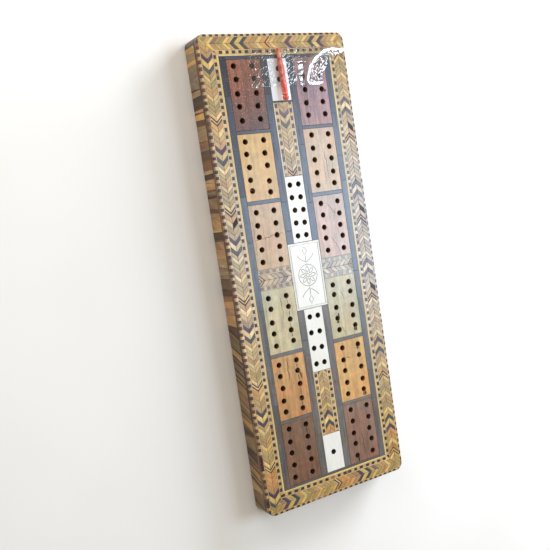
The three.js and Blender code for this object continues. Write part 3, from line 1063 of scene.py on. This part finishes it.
SIDE_TONES = ("5e4834", "7d5a40", "8c7963", "a38d6c", "b8935a", "a8865e", "66503f", "947558", "463626")
SLANTED_TONES = ("7a6247", "87704f", "6c563e", "7a6247", "94784e", "6a5a45", "4c382a")
SIDE_STRIP_TONES = ("765030", "5c3f2a", "866038", "4e3626")
SIDE_STRIP_WIDTH = 1.9


def side_place(side):
    """Turns (distance along a side, height, standing out) into a point, round its corners."""
    strip = edge_strip(side)
    edge, along, outward = strip.start, strip.along, strip.across * -1
    straight = BORDERS[side]["half"] - CORNER_RADIUS

    def place(u, v, height):
        if abs(u) <= straight:
            flat = edge + along * u + outward * height
        else:
            sign = 1 if u > 0 else -1
            angle = (abs(u) - straight) / CORNER_RADIUS
            centre = edge - outward * CORNER_RADIUS + along * sign * straight
            reach = CORNER_RADIUS + height
            flat = centre + (along * sign * math.sin(angle) + outward * math.cos(angle)) * reach
        return (flat.x, flat.y, v)
    return place


def parquetry(side):
    """Blocks of mixed woods round the side, some cut aslant, under a narrow warmer strip."""
    draw = random.Random("side " + side)
    half = BORDERS[side]["half"]
    quarter_round = CORNER_RADIUS * math.pi / 4
    reach = half - CORNER_RADIUS + quarter_round
    top = CORE_TOP
    strip_low = top - SIDE_STRIP_WIDTH
    relief = Relief(rectangle(-reach, 0, reach, top), 0, 0.0)
    # Lines for the side to bend along, round its corners.
    for i in range(1, 6):
        for sign in (-1, 1):
            at = sign * (half - CORNER_RADIUS + quarter_round * i / 6)
            relief.path([(at, 0), (at, top)], 0.0, closed=False)

    def block(u, length, slant, far_slant, colour, width, depth):
        """Lays a block from u and returns where it ends."""
        end = u + length
        polygon = [(u, 0.0), (end, 0.0), (end + far_slant, strip_low), (u + slant, strip_low)]
        grain = (0.5, 1) if far_slant else (0, 1)
        relief.slip(polygon, colour, grain, draw, width, depth)
        return end

    overhang = 5
    u = -reach - overhang
    slant = 0.0
    while u < reach + overhang:
        length = draw.choice((1.0, 1.4, 2.0, 2.8, 3.8, 5.2))
        new_slant = 4.5 if u > half * 0.15 and draw.random() < 0.8 else draw.choice((0, 0, 0.8))
        new_slant = max(new_slant, slant - length * 0.7)
        aslant = new_slant > 2
        tones = SLANTED_TONES if aslant else SIDE_TONES
        colour = toned(srgb(draw.choice(tones)), draw.uniform(0.95, 1.45))
        u = block(u, length, slant, new_slant, colour, 0.09, 0.07)
        slant = new_slant
        if aslant and draw.random() < 0.45:
            u = block(u, 0.8, slant, slant, srgb("2e1f18"), 0.08, 0.05)
    u = -reach
    while u < reach:
        length = draw.uniform(6, 30)
        colour = toned(srgb(draw.choice(SIDE_STRIP_TONES)), draw.uniform(0.85, 1.1))
        relief.slip(rectangle(u, strip_low, min(u + length, reach), top), colour, (1, 0), draw)
        u += length
    piece = relief.build(f"laid_parquetry_{side}", side_place(side), SIDE_SLICE, SIDE_WOOD)
    fit(piece, f"side_parquetry_{side}", "side_parquetry")


# ---- Peg ----

# It rests on its thickest ring and on its tip: their radii and distances along it give its tilt.
PEG_TILT = math.atan((1.7 - 1.02) / (26.6 - 8.95))
# Distance from the end of the head and radius, as the lathe cut them.
PEG_PROFILE = (
    (0, 0), (0.1, 0.55), (0.35, 1.05), (0.8, 1.5), (1.3, 1.68), (1.8, 1.7), (2.3, 1.56), (2.65, 1.3),
    (2.85, 1.22), (3.05, 1.35), (3.2, 1.62), (3.45, 1.7), (3.75, 1.68), (3.95, 1.5), (4.15, 1.38),
    (4.35, 1.45), (4.6, 1.6), (5.0, 1.64), (6.5, 1.62), (8.3, 1.58), (8.7, 1.6), (8.95, 1.7), (9.2, 1.68),
    (9.45, 1.5), (9.8, 1.46), (10.6, 1.54), (12.5, 1.62), (14.2, 1.62), (16.5, 1.56), (18.8, 1.46),
    (19.9, 1.4), (20.3, 1.46), (20.7, 1.44), (21.0, 1.3), (21.3, 1.22), (23, 1.18), (25, 1.12),
    (26.6, 1.02), (27.2, 0.88), (27.6, 0.64), (27.85, 0.36), (28, 0),
)
PEG_SIDES = 40


def peg_axis():
    """Where the head's end lies, and the direction to the tip."""
    low, high = node_box("scoring_peg")
    lift = max(s * math.sin(PEG_TILT) + r * math.cos(PEG_TILT) for s, r in PEG_PROFILE)
    start = Vector(((low.x + high.x) / 2, low.y, low.z + lift))
    return start, Vector((0, math.cos(PEG_TILT), -math.sin(PEG_TILT)))


def peg():
    """The lathe's profile swept round the axis, a little uneven by hand."""
    start, axis = peg_axis()
    side = Vector((1, 0, 0))
    up = side.cross(axis)
    points, faces = [start], []
    for along, radius in PEG_PROFILE[1:-1]:
        for i in range(PEG_SIDES):
            angle = 2 * math.pi * i / PEG_SIDES
            uneven = 1 + 0.012 * noise.noise(Vector((along * 0.6, math.cos(angle), math.sin(angle))))
            out = side * math.cos(angle) + up * math.sin(angle)
            points.append(start + axis * along + out * radius * min(uneven, 1.0))
    points.append(start + axis * PEG_PROFILE[-1][0])
    rings = len(PEG_PROFILE) - 2
    for i in range(PEG_SIDES):
        j = (i + 1) % PEG_SIDES
        faces.append((0, 1 + i, 1 + j))
        for k in range(rings - 1):
            a, b = 1 + k * PEG_SIDES, 1 + (k + 1) * PEG_SIDES
            faces.append((a + i, b + i, b + j, a + j))
        last = 1 + (rings - 1) * PEG_SIDES
        faces.append((last + i, len(points) - 1, last + j))
    mesh = new_mesh("turned_peg", points, faces, stained_bone())
    mesh.shade_smooth()
    fit(new_object("turned_peg", mesh), "scoring_peg", "red_peg", "peg")


# ---- Tape ----

TAPE_GAP = 0.1
# The line along which the loose end of the tape curls up, as (x, y).
CURL = [Vector(p) for p in (
    (19.0, 95.4), (16.3, 97.0), (15.3, 99.2), (15.6, 101.5), (17.4, 106.8), (21.8, 111.8),
    (28.4, 115.8), (34.0, 116.9), (41.4, 116.6), (46.0, 116.0))]
# Where the tape ends on the right: y and x.
CURL_END = ((96.9, 25.0), (98.0, 27.5), (103.4, 28.2), (106.2, 30.6), (109.2, 32.0), (111.8, 36.0),
            (113.2, 43.0), (114.0, 43.8), (118.0, 43.8))


def rough(x, y, layer):
    """Noise from -1 to 1 in a plane of its own."""
    return noise.noise(Vector((x, y, layer)))


def past_curl(point):
    """Distance from the line of the curl, positive beyond it."""
    best = 1e9
    for start, end in zip(CURL, CURL[1:]):
        run = end - start
        t = min(1.0, max(0.0, (point - start).dot(run) / run.length_squared))
        away = point - (start + run * t)
        if away.length < abs(best):
            best = math.copysign(away.length, away.x * run.y - away.y * run.x)
    return best


def tape_height(x, y, start, axis):
    """How far above the face the tape's underside lies, over a peg with this axis."""
    along = (y - start.y) / axis.y
    radius = interpolate(PEG_PROFILE, along)
    centre = start.z + axis.z * along - FACE_Z
    contact, tent = 0.12, 1.8
    sideways = abs(x - start.x)
    reach = radius + tent
    height = contact
    if sideways < reach:
        over_peg = centre + radius + TAPE_GAP - contact
        height += over_peg * math.cos(math.pi / 2 * sideways / reach) ** 2
    if sideways < radius:
        height = max(height, centre + math.sqrt(radius ** 2 - sideways ** 2) + TAPE_GAP)
    height += 0.25 * max(0.0, rough(x * 0.5, y * 0.35, 9.0) - 0.1) + ruffles(x, y)
    beside = smooth_step(3.2, 4.2, sideways) * (1 - smooth_step(8.0, 10.0, sideways))
    height += beside * 0.2 * max(0.0, rough(x * 1.3, y * 1.1, 2.0))
    beyond = past_curl(Vector((x, y)))
    lifted = smooth_step(-1.2, 0.8, beyond)
    return max(contact, height + lifted * (curl_height(x, y, beyond) - height))


def ruffles(x, y):
    """Short waves across the tape, between the peg and the curl."""
    phase = (y + 0.8 * rough(x * 0.4, y * 0.3, 4.0)) / 3.2 % 1.0
    wave = 0.64 * (phase if phase < 0.8 else (1 - phase) * 4) - 0.08 * (x - 16)
    within = smooth_step(11.2, 12.0, x) * (1 - smooth_step(15.6, 16.4, x))
    return wave * within * (1 - smooth_step(109.5, 111.0, y))


def curl_height(x, y, beyond):
    """The lifted end: a smooth slope next to the fold, then crumpled and sagging."""
    slope = 1.3 + 0.17 * (y - 98) - 0.08 * (x - 17)
    loose = smooth_step(1.9, 3.0, beyond) * smooth_step(98.4, 99.6, y)
    crumple = 0.7 * rough(x * 0.5, y * 0.42, 1.0) + 0.18 * rough(x, y * 0.85, 5.0)
    crumple += 0.25 * bell(beyond, 4.2, 0.6)
    speckle = 0.07 * rough(x * 1.3, y * 1.3, 6.0)
    return slope + speckle + loose * (crumple - 0.15 * (beyond - 1.5))


def tape():
    """A thin closed strip: two sheets of points and a rim. Its cut ends are a little jagged."""
    low, high = node_box("clear_tape")
    start, axis = peg_axis()
    top = high.z - FACE_Z - TAPE_GAP
    across, lengthwise = 150, 52
    film, jag = 0.05, 0.12
    upper, lower = [], []
    for j in range(lengthwise + 1):
        for i in range(across + 1):
            y = low.y + (high.y - low.y) * j / lengthwise
            x = low.x + (interpolate(CURL_END, y) - low.x) * i / across
            if i in (0, across):
                x += (jag if i == 0 else -jag) * (j % 2)
            height = min(tape_height(x, y, start, axis), top)
            lower.append((x, y, FACE_Z + height))
            upper.append((x, y, FACE_Z + height + film))
    row = across + 1
    count = len(upper)
    faces = []
    for j in range(lengthwise):
        for i in range(across):
            a = j * row + i
            faces.append((a, a + 1, a + 1 + row, a + row))
            faces.append((a + count, a + row + count, a + row + 1 + count, a + 1 + count))
    rim = list(range(across)) + [across + j * row for j in range(lengthwise)]
    rim += [lengthwise * row + across - i for i in range(across)]
    rim += [(lengthwise - j) * row for j in range(lengthwise)]
    for a, b in zip(rim, rim[1:] + rim[:1]):
        faces.append((a, a + count, b + count, b))
    mesh = new_mesh("clear_tape_film", upper + lower, faces, clear_film())
    mesh.shade_smooth()
    mesh.set_sharp_from_angle(angle=math.radians(60))
    fit(new_object("clear_tape_film", mesh), "clear_tape", "clear_tape", "peg")


# ---- Stage, lights and camera ----

def stage():
    shader = Shader("pale_table")
    place = shader.millimetres()
    mottle = shader.between(shader.noise(place, 0.01, 2.0), 0.3, 0.7)
    colour = shader.layers(srgb("eceae6"), (mottle, "e9e6e1"))
    shader.principled(colour, 0.8, shader.bump(mottle, 0.05, 0.1))
    reach = 3000
    corners = [(x, y, 0) for x, y in rectangle(-reach, -reach, reach, reach)]
    floor = new_object("table", new_mesh("table", corners, [(0, 1, 2, 3)], shader.material))
    floor.location.z = -0.0002


def area_light(name, place, target, size, power, colour, roll=0.0, mirrored=True):
    data = bpy.data.lights.new(name, "AREA")
    data.shape = "RECTANGLE"
    data.size, data.size_y = size
    data.energy = power
    data.color = colour
    light = new_object(name, data)
    light.location = place
    facing = (Vector(target) - Vector(place)).to_track_quat("-Z", "Y")
    light.rotation_euler = (facing @ Quaternion((0, 0, 1), math.radians(roll))).to_euler()
    light.visible_glossy = mirrored


def lights():
    """A cool window that the tape mirrors, a wide doorway, a small reflector and a dim ceiling."""
    world = bpy.data.worlds.new("studio")
    world.use_nodes = True
    background = world.node_tree.nodes["Background"]
    background.inputs["Color"].default_value = (1.0, 0.89, 0.73, 1.0)
    background.inputs["Strength"].default_value = 0.415
    bpy.context.scene.world = world
    area_light("window", (0.575, 0.0, 0.6), (0.015, 0.005, 0.014), size=(0.32, 0.46), power=3.1,
               colour=(0.79, 0.94, 1.12), roll=-24)
    area_light("doorway", (0.69, 0.43, 0.22), (0, 0, 0), size=(0.5, 0.35), power=12.7,
               colour=(0.92, 0.99, 1.1), mirrored=False)
    area_light("reflector", (-0.22, 0.36, 0.22), (-0.04, 0.09, 0.01), size=(0.25, 0.25), power=0.52,
               colour=(1.0, 1.0, 1.0), mirrored=False)
    area_light("ceiling", (-0.1, 0.35, 1.2), (0, 0, 0), size=(1.0, 1.0), power=2.8,
               colour=(0.97, 0.98, 1.01))


def camera():
    """Stands left of the board, looking down across it at the angle of the photo."""
    data = bpy.data.cameras.new("camera")
    data.sensor_width = 36
    data.lens = 49.6
    data.clip_start = 0.01
    made = new_object("camera", data)
    made.location = (-0.21406, 0.03193, 0.34529 + FACE_Z * MM)
    made.rotation_euler = Euler([math.radians(a) for a in (0.195, -29.658, -9.823)])
    bpy.context.scene.camera = made


# ---- Making everything ----

camera()
lights()
stage()
bpy.context.scene.view_settings.view_transform = "Standard"

for side_name in BORDERS:
    border(side_name)
    stringing(side_name)
    parquetry(side_name)

middle_rows, cross_rows = (0.7, 2.35, 2.95), (0.35, 2.1, 2.5)
near_odd = ((1.5, 2, DEEP_ORANGE), (3.2, 2, ORANGE), (6.8, 2, DARK_GREEN), (12.2, 2, DARK_PURPLE))
# Each strip's sixth number, where given, is its share of painted sheen.
inner_strip("herringbone_middle_far", (0, -1), middle_rows, 8.7, 4.0, 0.15)
inner_strip("herringbone_middle_near", (0, 1), middle_rows, 8.0, 3.35, odd=near_odd)
inner_strip("herringbone_cross_left", (1, 0), cross_rows, 18.0, 3.9, 0.5)
inner_strip("herringbone_cross_right", (-1, 0), cross_rows, 17.8, 3.9, 0.62, "a7a8a6")

for node_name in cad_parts:
    if node_name.startswith("ground_"):
        ground(node_name, joints="divider" not in node_name and "joint" not in node_name)

for side_name in ("left", "right"):
    for panel_number in range(1, len(PANELS) + 1):
        panel(side_name, panel_number)

# The far plate's whiter bone is painted light against the peg's shadow.
plate("peg_plate_far", PAINTED_LIGHT_BONE)
for plate_name in ("ten_hole_plate", "eight_hole_plate", "peg_plate_near", "centre_plaque"):
    plate(plate_name, BONE)

peg()
tape()

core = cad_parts["core_board"]
core.data.materials[0] = wood("core_wood", (1.1, 1.0, 0.9), 0.2, 0.4, 0.5, plain="6e4f34", coat=0.0)
